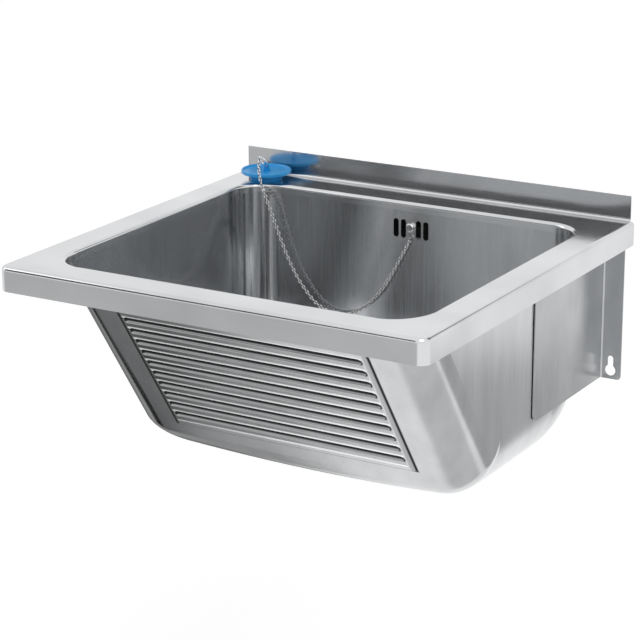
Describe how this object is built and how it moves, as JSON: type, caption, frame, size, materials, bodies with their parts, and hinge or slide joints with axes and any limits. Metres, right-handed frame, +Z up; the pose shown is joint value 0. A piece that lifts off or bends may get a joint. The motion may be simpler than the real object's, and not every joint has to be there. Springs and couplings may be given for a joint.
{
  "type": "wall-hung utility sink",
  "caption": "Wall-hung stainless steel utility sink: deep bowl with a washboard front, flat deck with upstand, hanging brackets, overflow, chained rubber plug and waste outlet.",
  "frame": {"origin": "on the wall plane, midway between the two screw-head holes of the hanging brackets", "axes": "+X to the right seen from the front, +Y into the wall, +Z up"},
  "size_m": [0.6, 0.58, 0.3765],
  "materials": {
    "deck_steel": "satin",
    "bowl_steel": "satin, drawn upright",
    "bracket_steel": "mill",
    "waste_steel": "polished",
    "chrome_trim": "bright",
    "chain_chrome": "bright",
    "plug_rubber": "smooth, slightly glossy",
    "seal_rubber": "matt",
    "pipe_plastic": "moulded"
  },
  "bodies": {
    "sink": {"deck": "deck_steel", "bowl": "bowl_steel", "bracket_left": "bracket_steel", "bracket_right": "bracket_steel", "waste_flange": "waste_steel", "waste_gasket": "seal_rubber", "waste_washer": "seal_rubber", "waste_body": "pipe_plastic", "waste_screw": "waste_steel", "overflow_gasket": "seal_rubber", "overflow_box": "pipe_plastic", "overflow_screw": "chrome_trim", "overflow_pipe": "pipe_plastic", "upper_pipe_seal": "seal_rubber", "upper_pipe_nut": "pipe_plastic", "lower_pipe_seal": "seal_rubber", "lower_pipe_nut": "pipe_plastic", "chain": "chain_chrome"},
    "anchor": {"chain_anchor": "chrome_trim"},
    "plug": {"plug": "plug_rubber", "chain_lead": "chain_chrome"},
    "ring": {"plug_ring": "chain_chrome"}
  },
  "joints": [
    {"name": "anchor_swing", "type": "hinge", "parent": "sink", "child": "anchor", "pos_m": [0, -0.0586, 0.175], "axis": [0, 1, 0], "range_deg": [-75, 75]},
    {"name": "plug_lift", "type": "slide", "parent": "sink", "child": "plug", "axis": [0, 0, 1], "range_m": [0, 0.03]},
    {"name": "ring_swing", "type": "hinge", "parent": "plug", "child": "ring", "pos_m": [-0.242, -0.039, 0.228], "axis": [0.9135, -0.4067, 0], "range_deg": [-140, 0]}
  ]
}
